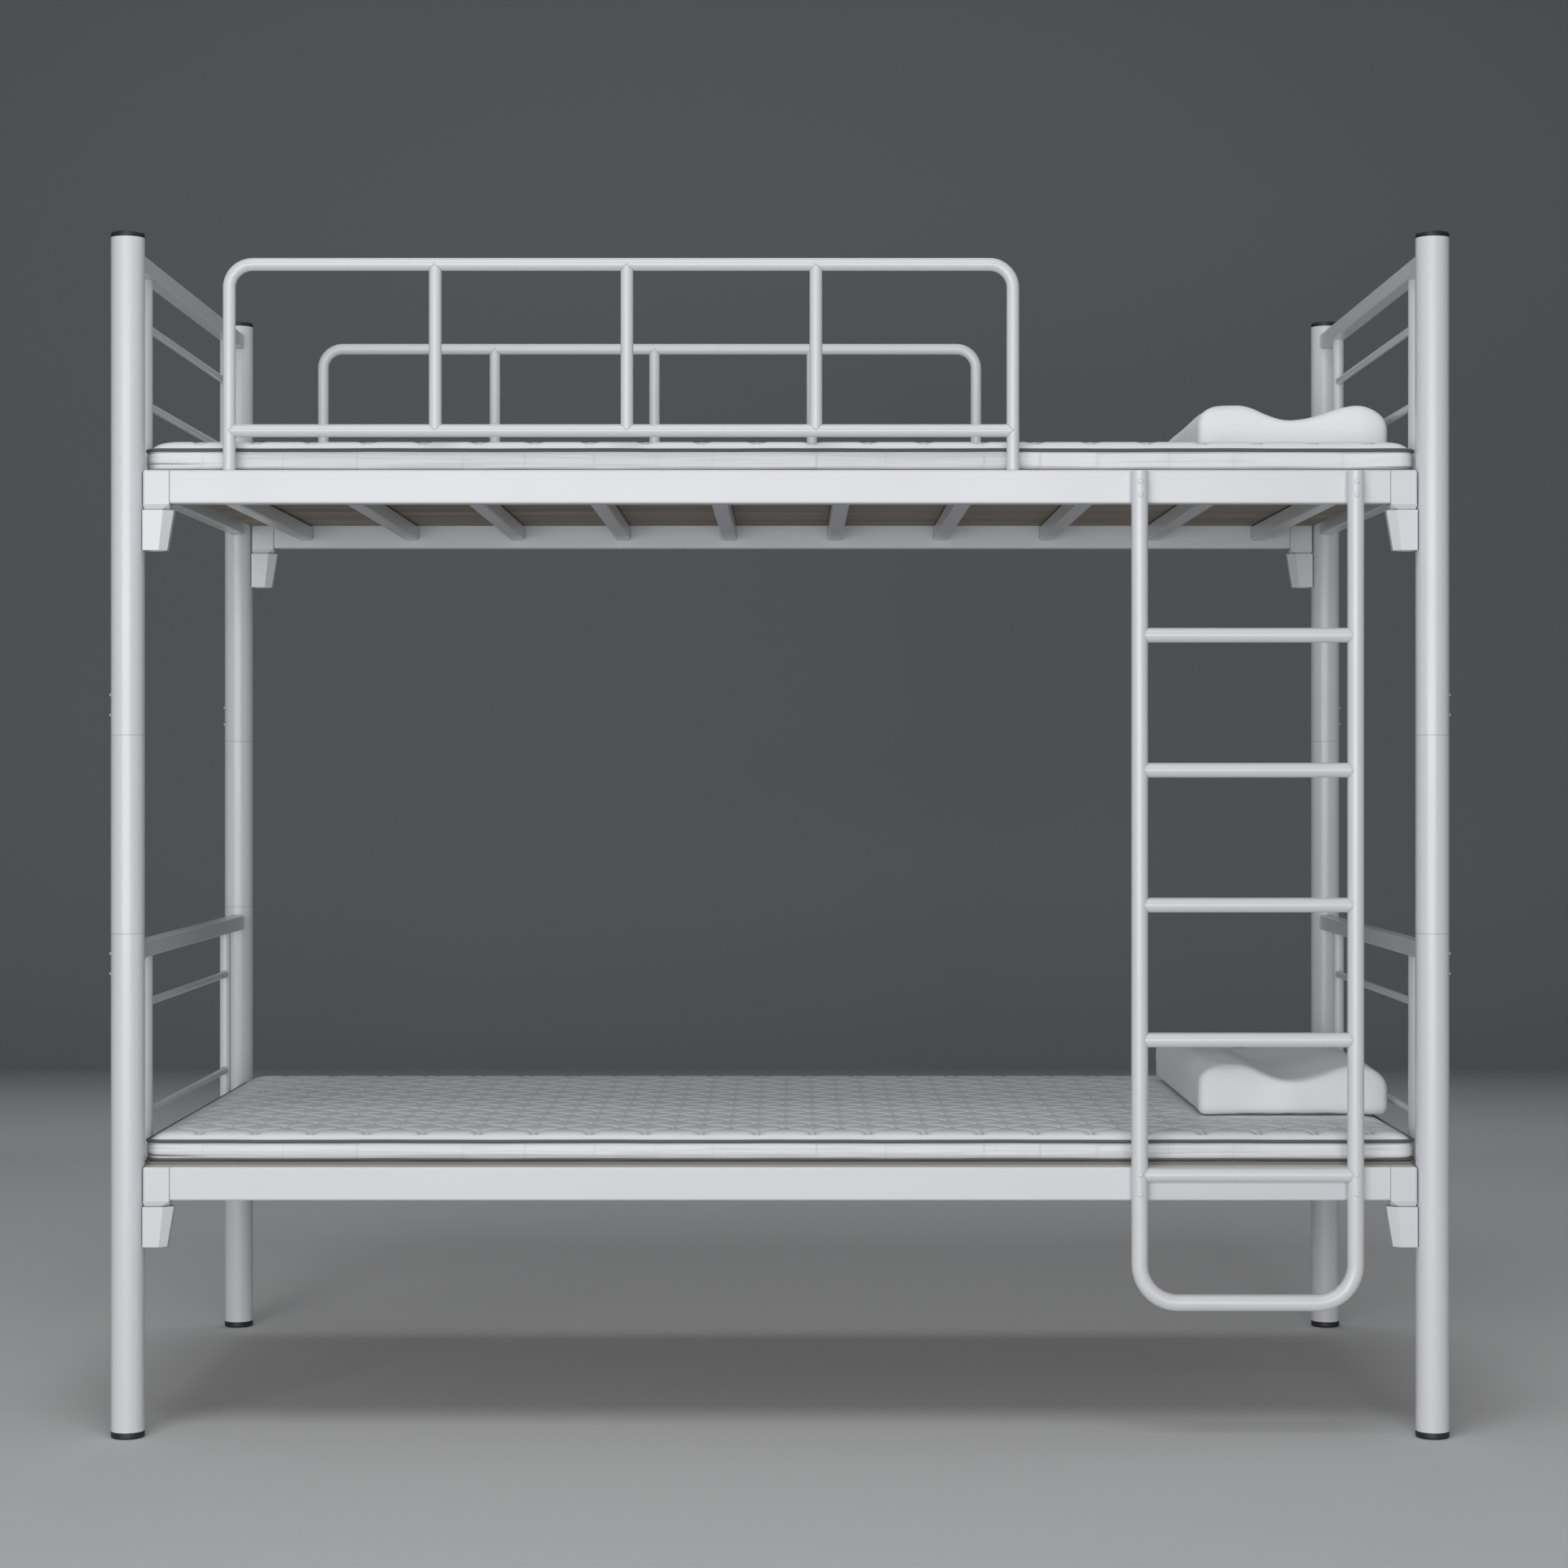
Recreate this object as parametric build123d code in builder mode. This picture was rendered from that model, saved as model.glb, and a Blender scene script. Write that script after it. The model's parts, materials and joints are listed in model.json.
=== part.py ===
from build123d import *
from math import cos, radians, sin
import os

# Two-tier dormitory bunk bed of white powder-coated steel tube, with ladder, guard rails,
# plywood boards, thin quilted mattresses and contour pillows.
# Millimetres, +Z up. The origin is on the floor, midway between the four posts.
# The ladder side is the front, -Y; the pillow end is +X.

os.makedirs("parts", exist_ok=True)

# Overall size and posts
LENGTH = 2000.0
WIDTH = 1000.0
POST_DIA = 50.0
POST_WALL = 1.5
FOOT_HEIGHT = 10.0
CAP_HEIGHT = 8.5
END_POST_LENGTH = 742.5
COUPLING_LENGTH = 296.5
COUPLING_EDGE = 0.6
SLEEVE_REACH = 80.0
SLEEVE_WALL = 1.5
FIT_GAP = 0.3

# Caps and feet, both with a plug that fills the end of the post
PLUG_DEPTH = 20.0
CAP_SIDE = 4.5
CAP_SHOULDER = 2.5
CAP_CROWN = CAP_HEIGHT - CAP_SIDE - CAP_SHOULDER
FOOT_EDGE = 2.0

# Square tube of the end frames and slats
BAR = 25.0
BAR_WALL = 1.2
BAR_CORNER = 2.5
SLAT_EDGE = 2.0

# End frames: heights above the floor for the lower bunk
TOP_RAIL_TOP = 737.0
UPRIGHT_DIA = 19.0
UPRIGHT_Y = 339.0
TUBE_WALL = 1.2
END_RUNG_DIA = 12.0
END_RUNG_HEIGHTS = {"lower": (471.5, 639.5), "upper": (519.0, 638.5)}

# Side rails of the bunk base
RAIL_TOP = 405.0
RAIL_HEIGHT = 50.0
RAIL_DEPTH = 30.0
RAIL_WALL = 1.5
RAIL_CORNER = 3.0
RAIL_EASE = 0.7

# Hook ends of the side rails, measured from the post's surface
HOOK_WIDTH = 40.0
HOOK_DEPTH = 32.0
HOOK_WALL = 2.5
HOOK_DROP = 1.0
HOOK_TOP_CHAMFER = 2.5
NECK_HEIGHT = 8.5
TONGUE_STRAIGHT = 21.0
TONGUE_LENGTH = 50.0
TONGUE_GAP = 0.2

# Tapered sockets on the posts
SOCKET_HEIGHT = 60.0
SOCKET_REACH_TOP = 45.0
SOCKET_REACH_BOTTOM = 35.0
SOCKET_FLAT_TOP = 30.5
SOCKET_FLAT_BOTTOM = 24.0
SOCKET_SIDE = 14.0
WELD_WIDTH = 12.0

# Slats and boards
SLAT_COUNT = 10
SLAT_PITCH = 189.5
SLAT_RISE = 15.0
BOARD_LENGTH = 1900.0
BOARD_WIDTH = 912.0
BOARD_THICK = 13.5
BOARD_CORNER = 5.0

# Guard rails of the upper bunk
GUARD_DIA = 19.0
GUARD_LEFT = -823.5
GUARD_RIGHT = 348.0
GUARD_UPRIGHTS = (-515.5, -229.0, 53.5)
GUARD_TOP = 1752.5
GUARD_BAR = 1504.0
GUARD_BEND = 35.0

# Ladder
LADDER_DIA = 25.0
LADDER_X = 695.0
LADDER_SPACING = 321.0
LADDER_TOP = 1441.0
LADDER_FOOT = 205.0
LADDER_BEND = 57.0
LADDER_RUNG_DIA = 22.0
LADDER_RUNG_COUNT = 5
LADDER_RUNG_FIRST = 395.0
LADDER_RUNG_PITCH = 200.5

# Mattresses, with heights above the underside
MATTRESS_LENGTH = 1910.0
MATTRESS_WIDTH = 900.0
MATTRESS_THICK = 43.5
MATTRESS_CORNER = 25.0
PIPING_DIA = 5.0
PIPING_LOW = 2.8
PIPING_HIGH = 29.6
PIPING_NOTCH = PIPING_DIA / 2 ** 0.5
PIPING_SIDES = 8
BAND_DRAW = 0.6
SHOULDER_REACH = 24.0
SHOULDER_RISE = 12.0
SHOULDER_TURNS = (30, 60, 90)
CROWN_REACH = 120.0
LEAST_CORNER = 8.0
LOOSE_GAP = 0.3

# Pillows: heights above the underside, and places across the width from its left edge
PILLOW_WIDTH = 297.0
PILLOW_LENGTH = 600.0
PILLOW_HEIGHT = 78.5
PILLOW_X = 806.0
PILLOW_Y = 67.0
PILLOW_SOLE_ROUND = 8.0
PILLOW_LEFT_ROUND = 26.0
PILLOW_RIGHT_ROUND = 36.0
PILLOW_LEFT_HUMP = 62.0
PILLOW_DIP = 143.0
PILLOW_DIP_HEIGHT = 55.0
PILLOW_RIGHT_HUMP = 256.0

# Places worked out from the sizes above
POST_RADIUS = POST_DIA / 2
POST_BORE = POST_RADIUS - POST_WALL
POST_X = LENGTH / 2 - POST_RADIUS
POST_Y = WIDTH / 2 - POST_RADIUS
LOWER_SPLIT = FOOT_HEIGHT + END_POST_LENGTH
UPPER_SPLIT = LOWER_SPLIT + COUPLING_LENGTH
POST_TOP = UPPER_SPLIT + END_POST_LENGTH
BUNK_RISE = UPPER_SPLIT - FOOT_HEIGHT
RAIL_BOTTOM = RAIL_TOP - RAIL_HEIGHT
RAIL_FACE = POST_Y + RAIL_DEPTH / 2
RAIL_INNER = POST_Y - RAIL_DEPTH / 2
RAIL_LENGTH = 2 * (POST_X - POST_RADIUS - HOOK_WIDTH)
LADDER_Y = -RAIL_FACE - LADDER_DIA / 2
LADDER_STILES = (LADDER_X - LADDER_SPACING / 2, LADDER_X + LADDER_SPACING / 2)
SLAT_TOP = RAIL_BOTTOM + SLAT_RISE + BAR
BOARD_TOP = SLAT_TOP + BOARD_THICK
MATTRESS_BOTTOM = BOARD_TOP + LOOSE_GAP
PILLOW_BOTTOM = MATTRESS_BOTTOM + MATTRESS_THICK + LOOSE_GAP

BUNKS = {"lower": 0.0, "upper": BUNK_RISE}
ENDS = {"left": -POST_X, "right": POST_X}
SIDES = {"front": -POST_Y, "back": POST_Y}
CORNERS = [(x, y) for x in ENDS.values() for y in SIDES.values()]


def keep(piece, name):
    """Label a finished piece and write it as a node of its own."""
    piece.part.label = name
    export_step(piece.part, f"parts/{name}.step")


def along_y(x, y, z):
    """Plane that faces +Y, for sections that run from front to back."""
    return Plane(origin=(x, y, z), x_dir=(1, 0, 0), z_dir=(0, 1, 0))


def along_x(x, y, z):
    """Plane that faces +X, for sections that run lengthwise."""
    return Plane(origin=(x, y, z), x_dir=(0, 1, 0), z_dir=(1, 0, 0))


def ring(diameter, wall):
    """Section of a round tube, drawn in the open sketch."""
    Circle(diameter / 2)
    Circle(diameter / 2 - wall, mode=Mode.SUBTRACT)


def box_section(width, height, corner, wall):
    """Section of a rectangular tube with rounded edges, drawn in the open sketch."""
    RectangleRounded(width, height, corner)
    Rectangle(width - 2 * wall, height - 2 * wall, mode=Mode.SUBTRACT)


def post_length(x, y, bottom, length):
    """One open length of post tube."""
    with BuildPart() as post:
        with BuildSketch(Plane((x, y, bottom))):
            ring(POST_DIA, POST_WALL)
        extrude(amount=length)
    return post


# Posts, and the coupling tubes between them with their ends eased, so that the splits show
for end, x in ENDS.items():
    for side, y in SIDES.items():
        corner = f"{side}_{end}"
        keep(post_length(x, y, FOOT_HEIGHT, END_POST_LENGTH), f"lower_post_{corner}")
        keep(post_length(x, y, UPPER_SPLIT, END_POST_LENGTH), f"upper_post_{corner}")

        with BuildPart() as coupling_tube:
            add(post_length(x, y, LOWER_SPLIT, COUPLING_LENGTH).part)
            end_circles = coupling_tube.edges().filter_by(GeomType.CIRCLE)
            chamfer(end_circles.group_by(SortBy.RADIUS)[-1], length=COUPLING_EDGE)
        keep(coupling_tube, f"coupling_tube_{corner}")

# Sleeves inside the coupling tubes, which reach into the posts above and below
with BuildPart() as coupling_sleeves:
    with BuildSketch(Plane.XY.offset(LOWER_SPLIT - SLEEVE_REACH)):
        with Locations(*CORNERS):
            ring(2 * (POST_BORE - FIT_GAP), SLEEVE_WALL)
    extrude(amount=COUPLING_LENGTH + 2 * SLEEVE_REACH)
keep(coupling_sleeves, "coupling_sleeves")

# Caps and feet, plugged into the open ends of the posts
with BuildPart() as cap:
    with BuildSketch(Plane.XZ):
        with BuildLine():
            crown_radius = POST_RADIUS - CAP_SHOULDER
            crown_base = CAP_SIDE + CAP_SHOULDER
            crown_sphere = (crown_radius ** 2 + CAP_CROWN ** 2) / (2 * CAP_CROWN)
            Polyline((0, CAP_HEIGHT), (0, -PLUG_DEPTH), (POST_BORE - FIT_GAP, -PLUG_DEPTH),
                     (POST_BORE - FIT_GAP, 0), (POST_RADIUS, 0), (POST_RADIUS, CAP_SIDE),
                     (crown_radius, crown_base))
            RadiusArc((crown_radius, crown_base), (0, CAP_HEIGHT), -crown_sphere)
        make_face()
    revolve(axis=Axis.Z)

with BuildPart() as post_caps:
    with Locations(*[(x, y, POST_TOP) for x, y in CORNERS]):
        add(cap.part)
keep(post_caps, "post_caps")

with BuildPart() as foot:
    with BuildSketch(Plane.XY):
        Circle(POST_RADIUS)
    extrude(amount=FOOT_HEIGHT)
    chamfer(foot.edges().sort_by(Axis.Z)[0], length=FOOT_EDGE)
    with BuildSketch(Plane.XY.offset(FOOT_HEIGHT)):
        Circle(POST_BORE - FIT_GAP)
    extrude(amount=PLUG_DEPTH)

with BuildPart() as feet:
    with Locations(*[(x, y, 0) for x, y in CORNERS]):
        add(foot.part)
keep(feet, "feet")


def end_rail(x, top):
    """Square rail across one end, coped to the two posts that it joins."""
    middle = top - BAR / 2
    with BuildPart() as rail:
        with BuildSketch(along_y(x, -POST_Y, middle)):
            box_section(BAR, BAR, BAR_CORNER, BAR_WALL)
        extrude(amount=2 * POST_Y)
        with Locations((x, -POST_Y, middle), (x, POST_Y, middle)):
            Cylinder(POST_RADIUS, 2 * BAR, mode=Mode.SUBTRACT)
    return rail


# Welded end frames
for bunk, rise in BUNKS.items():
    for end, x in ENDS.items():
        place = f"{bunk}_{end}"
        top_rail_top = TOP_RAIL_TOP + rise
        cross_rail_top = RAIL_TOP + rise
        keep(end_rail(x, top_rail_top), f"{place}_top_rail")
        keep(end_rail(x, cross_rail_top), f"{place}_cross_rail")

        with BuildPart() as uprights:
            with BuildSketch(Plane.XY.offset(cross_rail_top)):
                with Locations((x, -UPRIGHT_Y), (x, UPRIGHT_Y)):
                    ring(UPRIGHT_DIA, TUBE_WALL)
            extrude(amount=top_rail_top - BAR - cross_rail_top)
        keep(uprights, f"{place}_uprights")

        with BuildPart() as rungs:
            for height in END_RUNG_HEIGHTS[bunk]:
                with BuildSketch(along_y(x, -UPRIGHT_Y, height + rise)):
                    ring(END_RUNG_DIA, TUBE_WALL)
                extrude(amount=2 * UPRIGHT_Y)
                with Locations((x, -UPRIGHT_Y, height + rise), (x, UPRIGHT_Y, height + rise)):
                    Cylinder(UPRIGHT_DIA / 2, 2 * END_RUNG_DIA, mode=Mode.SUBTRACT)
        keep(rungs, f"{place}_rungs")


def wedge_outline(depth_below_mouth):
    """Plan of the tapered socket at one depth below its mouth, from the post's surface inwards."""
    share = depth_below_mouth / SOCKET_HEIGHT
    reach = POST_RADIUS + SOCKET_REACH_TOP + (SOCKET_REACH_BOTTOM - SOCKET_REACH_TOP) * share
    flat = POST_RADIUS + SOCKET_FLAT_TOP + (SOCKET_FLAT_BOTTOM - SOCKET_FLAT_TOP) * share
    half_depth = HOOK_DEPTH / 2
    half_side = SOCKET_SIDE / 2
    return [(POST_RADIUS, -half_depth), (flat, -half_depth), (reach, -half_side),
            (reach, half_side), (flat, half_depth), (POST_RADIUS, half_depth)]


def inset_wedge(depth_below_mouth, inset):
    """The same plan drawn in the open sketch, moved in by a wall or a gap."""
    Polygon(*wedge_outline(depth_below_mouth), align=None)
    if inset:
        offset(amount=-inset, kind=Kind.INTERSECTION, mode=Mode.REPLACE)


# Tapered socket, folded from sheet, mouth at z = 0 and the post's axis on Z.
# It is welded to the post along the line where its back plate touches.
with BuildPart() as socket:
    for inset, mode in ((0, Mode.ADD), (HOOK_WALL, Mode.SUBTRACT)):
        for depth in (0, SOCKET_HEIGHT):
            with BuildSketch(Plane.XY.offset(-depth)):
                inset_wedge(depth, inset)
        loft(ruled=True, mode=mode)
    with BuildSketch(Plane.XY.offset(-SOCKET_HEIGHT)):
        with Locations((POST_RADIUS, 0)):
            Rectangle(HOOK_WALL, WELD_WIDTH)
    extrude(amount=SOCKET_HEIGHT)
    with Locations((0, 0, -SOCKET_HEIGHT / 2)):
        Cylinder(POST_RADIUS, 2 * SOCKET_HEIGHT, mode=Mode.SUBTRACT)

# Hook end of a side rail: box, bevelled neck and wedge tongue, folded from sheet.
# Rail bottom at z = 0 and the post's axis on Z.
HOOK_NEAR = POST_RADIUS + FIT_GAP
HOOK_FAR = POST_RADIUS + HOOK_WIDTH
HOOK_EDGE = (HOOK_DEPTH - RAIL_DEPTH) / 2
MOUTH = -HOOK_DROP - NECK_HEIGHT
HOOK_PLAN = [(HOOK_NEAR, -HOOK_DEPTH / 2), (HOOK_FAR - HOOK_EDGE, -HOOK_DEPTH / 2),
             (HOOK_FAR, -RAIL_DEPTH / 2), (HOOK_FAR, RAIL_DEPTH / 2),
             (HOOK_FAR - HOOK_EDGE, HOOK_DEPTH / 2), (HOOK_NEAR, HOOK_DEPTH / 2)]


def hook_plan(inset):
    """Plan of the hook's box drawn in the open sketch, moved in by the sheet's thickness."""
    Polygon(*HOOK_PLAN, align=None)
    if inset:
        offset(amount=-inset, kind=Kind.INTERSECTION, mode=Mode.REPLACE)


with BuildPart() as hook:
    for sheet, mode in ((0, Mode.ADD), (HOOK_WALL, Mode.SUBTRACT)):
        tongue_inset = HOOK_WALL + TONGUE_GAP + sheet
        with BuildSketch(Plane.XY.offset(-HOOK_DROP)):
            hook_plan(sheet)
        extrude(amount=RAIL_HEIGHT + HOOK_DROP - sheet, mode=mode)
        if mode == Mode.ADD:
            top_edges = hook.edges().filter_by(Axis.X).group_by(Axis.Z)[-1]
            fillet(top_edges, radius=RAIL_CORNER)
            near_top = hook.faces().filter_by(Axis.Z).sort_by(Axis.Z)[-1].edges().sort_by(Axis.X)[0]
            chamfer(near_top, length=HOOK_TOP_CHAMFER)
        with BuildSketch(Plane.XY.offset(-HOOK_DROP)):
            hook_plan(sheet)
        with BuildSketch(Plane.XY.offset(MOUTH)):
            inset_wedge(TONGUE_STRAIGHT, tongue_inset)
        loft(ruled=True, mode=mode)
        with BuildSketch(Plane.XY.offset(MOUTH)):
            inset_wedge(TONGUE_STRAIGHT, tongue_inset)
        extrude(amount=-TONGUE_STRAIGHT, mode=mode)
        for depth in (TONGUE_STRAIGHT, TONGUE_LENGTH):
            with BuildSketch(Plane.XY.offset(MOUTH - depth)):
                inset_wedge(depth, tongue_inset)
        loft(ruled=True, mode=mode)


def corner_places(height):
    """Places of the four posts at one height, turned so that local +X points along the bed."""
    return [Location((x, y, height), (0, 0, 0 if x < 0 else 180)) for x, y in CORNERS]


for bunk, rise in BUNKS.items():
    rail_bottom = RAIL_BOTTOM + rise

    with BuildPart() as sockets:
        with Locations(*corner_places(rail_bottom + MOUTH)):
            add(socket.part)
    keep(sockets, f"{bunk}_sockets")

    with BuildPart() as hooks:
        with Locations(*corner_places(rail_bottom)):
            add(hook.part)
    keep(hooks, f"{bunk}_hooks")

    # Side rails between the hooks, their ends eased so that the seams show
    for side, y in SIDES.items():
        with BuildPart() as side_rail:
            with BuildSketch(along_x(-RAIL_LENGTH / 2, y, rail_bottom + RAIL_HEIGHT / 2)):
                box_section(RAIL_DEPTH, RAIL_HEIGHT, RAIL_CORNER, RAIL_WALL)
            extrude(amount=RAIL_LENGTH)
            rail_ends = side_rail.faces().filter_by(Axis.X)
            chamfer([edge for face in rail_ends for edge in face.outer_wire().edges()], length=RAIL_EASE)
        keep(side_rail, f"{bunk}_{side}_rail")

    # Cross slats and the board that lies on them
    with BuildPart() as slats:
        with BuildSketch(along_y(0, -RAIL_INNER, rail_bottom + SLAT_RISE + BAR / 2)) as slat_row:
            with GridLocations(SLAT_PITCH, BAR, SLAT_COUNT, 1):
                Rectangle(BAR, BAR)
            chamfer(slat_row.vertices(), length=SLAT_EDGE)
            with GridLocations(SLAT_PITCH, BAR, SLAT_COUNT, 1):
                Rectangle(BAR - 2 * BAR_WALL, BAR - 2 * BAR_WALL, mode=Mode.SUBTRACT)
        extrude(amount=2 * RAIL_INNER)
    keep(slats, f"{bunk}_slats")

    with BuildPart() as board:
        with BuildSketch(Plane.XY.offset(SLAT_TOP + rise)):
            RectangleRounded(BOARD_LENGTH, BOARD_WIDTH, BOARD_CORNER)
        extrude(amount=BOARD_THICK)
    keep(board, f"{bunk}_board")

# Guard rails: bent hoop, bottom bar and uprights, coped where they meet
GUARD_FOOT = RAIL_TOP + BUNK_RISE
GUARD_LEGS = (GUARD_LEFT, GUARD_RIGHT)
for side, y in SIDES.items():
    with BuildPart() as guard_hoop:
        with BuildLine() as hoop_path:
            FilletPolyline((GUARD_LEFT, y, GUARD_FOOT), (GUARD_LEFT, y, GUARD_TOP),
                           (GUARD_RIGHT, y, GUARD_TOP), (GUARD_RIGHT, y, GUARD_FOOT),
                           radius=GUARD_BEND)
        with BuildSketch(Plane((GUARD_LEFT, y, GUARD_FOOT))):
            ring(GUARD_DIA, TUBE_WALL)
        sweep(path=hoop_path.line)
    keep(guard_hoop, f"{side}_guard_hoop")

    with BuildPart() as guard_bar:
        with BuildSketch(along_x(GUARD_LEFT, y, GUARD_BAR)):
            ring(GUARD_DIA, TUBE_WALL)
        extrude(amount=GUARD_RIGHT - GUARD_LEFT)
        with Locations(*[(leg, y, GUARD_BAR) for leg in GUARD_LEGS]):
            Cylinder(GUARD_DIA / 2, 2 * GUARD_DIA, mode=Mode.SUBTRACT)
    keep(guard_bar, f"{side}_guard_bar")

    with BuildPart() as guard_uprights:
        with BuildSketch(Plane.XY.offset(GUARD_BAR)):
            with Locations(*[(x, y) for x in GUARD_UPRIGHTS]):
                ring(GUARD_DIA, TUBE_WALL)
        extrude(amount=GUARD_TOP - GUARD_BAR)
        for height in (GUARD_BAR, GUARD_TOP):
            with Locations(*[(x, y, height) for x in GUARD_UPRIGHTS]):
                Cylinder(GUARD_DIA / 2, 2 * GUARD_DIA, rotation=(0, 90, 0), mode=Mode.SUBTRACT)
    keep(guard_uprights, f"{side}_guard_uprights")

# Ladder: one bent tube against the front rails, and rungs coped between its stiles
with BuildPart() as ladder_stile:
    with BuildLine() as stile_path:
        FilletPolyline((LADDER_STILES[0], LADDER_Y, LADDER_TOP), (LADDER_STILES[0], LADDER_Y, LADDER_FOOT),
                       (LADDER_STILES[1], LADDER_Y, LADDER_FOOT), (LADDER_STILES[1], LADDER_Y, LADDER_TOP),
                       radius=LADDER_BEND)
    with BuildSketch(Plane((LADDER_STILES[0], LADDER_Y, LADDER_TOP), z_dir=(0, 0, -1))):
        ring(LADDER_DIA, TUBE_WALL)
    sweep(path=stile_path.line)
keep(ladder_stile, "ladder_stile")

with BuildPart() as ladder_rungs:
    for step in range(LADDER_RUNG_COUNT):
        height = LADDER_RUNG_FIRST + step * LADDER_RUNG_PITCH
        with BuildSketch(along_x(LADDER_STILES[0], LADDER_Y, height)):
            ring(LADDER_RUNG_DIA, TUBE_WALL)
        extrude(amount=LADDER_SPACING)
        with Locations(*[(x, LADDER_Y, height) for x in LADDER_STILES]):
            Cylinder(LADDER_DIA / 2, 2 * LADDER_RUNG_DIA, mode=Mode.SUBTRACT)
keep(ladder_rungs, "ladder_rungs")

# Mattress: edge band between two piped seams, a round shoulder and a low crown above.
# Each pair is a height above the mattress's underside and how far the edge is drawn in there.
MATTRESS_SECTIONS = [
    (0.0, PIPING_NOTCH - PIPING_LOW),
    (PIPING_LOW, PIPING_NOTCH),
    (PIPING_LOW + PIPING_NOTCH, 0.0),
    ((PIPING_LOW + PIPING_HIGH) / 2, BAND_DRAW),
    (PIPING_HIGH - PIPING_NOTCH, 0.0),
    (PIPING_HIGH, PIPING_NOTCH),
]
for turn in SHOULDER_TURNS:
    rise_share = sin(radians(turn))
    reach_share = 1 - cos(radians(turn))
    MATTRESS_SECTIONS.append((PIPING_HIGH + rise_share * SHOULDER_RISE,
                              PIPING_NOTCH + reach_share * SHOULDER_REACH))
MATTRESS_SECTIONS.append((MATTRESS_THICK, CROWN_REACH))

# Pillow: section across its width, low in the middle and raised along both edges,
# then how the section shrinks towards each end of its length.
PILLOW_ENDS = [(0.5, 0.94), (0.493, 0.975), (0.48, 1.0), (-0.48, 1.0), (-0.493, 0.975), (-0.5, 0.94)]

with BuildLine() as pillow_contour:
    right = PILLOW_WIDTH / 2
    left = -right
    top = PILLOW_HEIGHT / 2
    sole = -top
    left_top = (left + PILLOW_LEFT_ROUND, top)
    left_hump = (left + PILLOW_LEFT_HUMP, top)
    dip = (left + PILLOW_DIP, sole + PILLOW_DIP_HEIGHT)
    right_hump = (left + PILLOW_RIGHT_HUMP, top)
    left_slope = ((left_hump[0] + dip[0]) / 2, (left_hump[1] + dip[1]) / 2)
    right_slope = ((right_hump[0] + dip[0]) / 2, (right_hump[1] + dip[1]) / 2)
    Line((left + PILLOW_SOLE_ROUND, sole), (right - PILLOW_SOLE_ROUND, sole))
    TangentArc((right - PILLOW_SOLE_ROUND, sole), (right, sole + PILLOW_SOLE_ROUND), tangent=(1, 0))
    Line((right, sole + PILLOW_SOLE_ROUND), (right, top - PILLOW_RIGHT_ROUND))
    TangentArc((right, top - PILLOW_RIGHT_ROUND), right_hump, tangent=(0, 1))
    TangentArc(right_hump, right_slope, tangent=(-1, 0))
    TangentArc(dip, right_slope, tangent=(1, 0))
    TangentArc(dip, left_slope, tangent=(-1, 0))
    TangentArc(left_hump, left_slope, tangent=(1, 0))
    Line(left_hump, left_top)
    TangentArc((left, top - PILLOW_LEFT_ROUND), left_top, tangent=(0, 1))
    Line((left, top - PILLOW_LEFT_ROUND), (left, sole + PILLOW_SOLE_ROUND))
    TangentArc((left + PILLOW_SOLE_ROUND, sole), (left, sole + PILLOW_SOLE_ROUND), tangent=(-1, 0))

for bunk, rise in BUNKS.items():
    with BuildPart() as mattress:
        for height, drawn_in in MATTRESS_SECTIONS:
            with BuildSketch(Plane.XY.offset(MATTRESS_BOTTOM + rise + height)):
                RectangleRounded(MATTRESS_LENGTH - 2 * drawn_in, MATTRESS_WIDTH - 2 * drawn_in,
                                 max(MATTRESS_CORNER - drawn_in, LEAST_CORNER))
        loft(ruled=True)
    keep(mattress, f"{bunk}_mattress")

    with BuildPart() as piping:
        for height in (PIPING_LOW, PIPING_HIGH):
            seam = Plane.XY.offset(MATTRESS_BOTTOM + rise + height)
            with BuildSketch(seam, mode=Mode.PRIVATE) as edge:
                RectangleRounded(MATTRESS_LENGTH, MATTRESS_WIDTH, MATTRESS_CORNER)
            with BuildSketch(along_x(0, -MATTRESS_WIDTH / 2, seam.origin.Z)):
                RegularPolygon(PIPING_DIA / 2, PIPING_SIDES, major_radius=False, rotation=180 / PIPING_SIDES)
            sweep(path=edge.wires()[0], transition=Transition.RIGHT)
    keep(piping, f"{bunk}_mattress_piping")

    with BuildPart() as pillow:
        for place, size in PILLOW_ENDS:
            middle = Plane(origin=(PILLOW_X, PILLOW_Y + place * PILLOW_LENGTH,
                                   PILLOW_BOTTOM + rise + size * PILLOW_HEIGHT / 2),
                           x_dir=(1, 0, 0), z_dir=(0, -1, 0))
            with BuildSketch(middle):
                add(pillow_contour.line)
                make_face()
                scale(by=size)
        loft(ruled=True)
    keep(pillow, f"{bunk}_pillow")
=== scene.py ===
"""Looks of the bunk bed with ladder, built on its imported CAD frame.

Metres, +Z up. The ladder side is -Y and the pillow end is +X.
"""

import json
import math

import bpy
import numpy as np
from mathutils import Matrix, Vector
from mathutils.kdtree import KDTree


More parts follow.
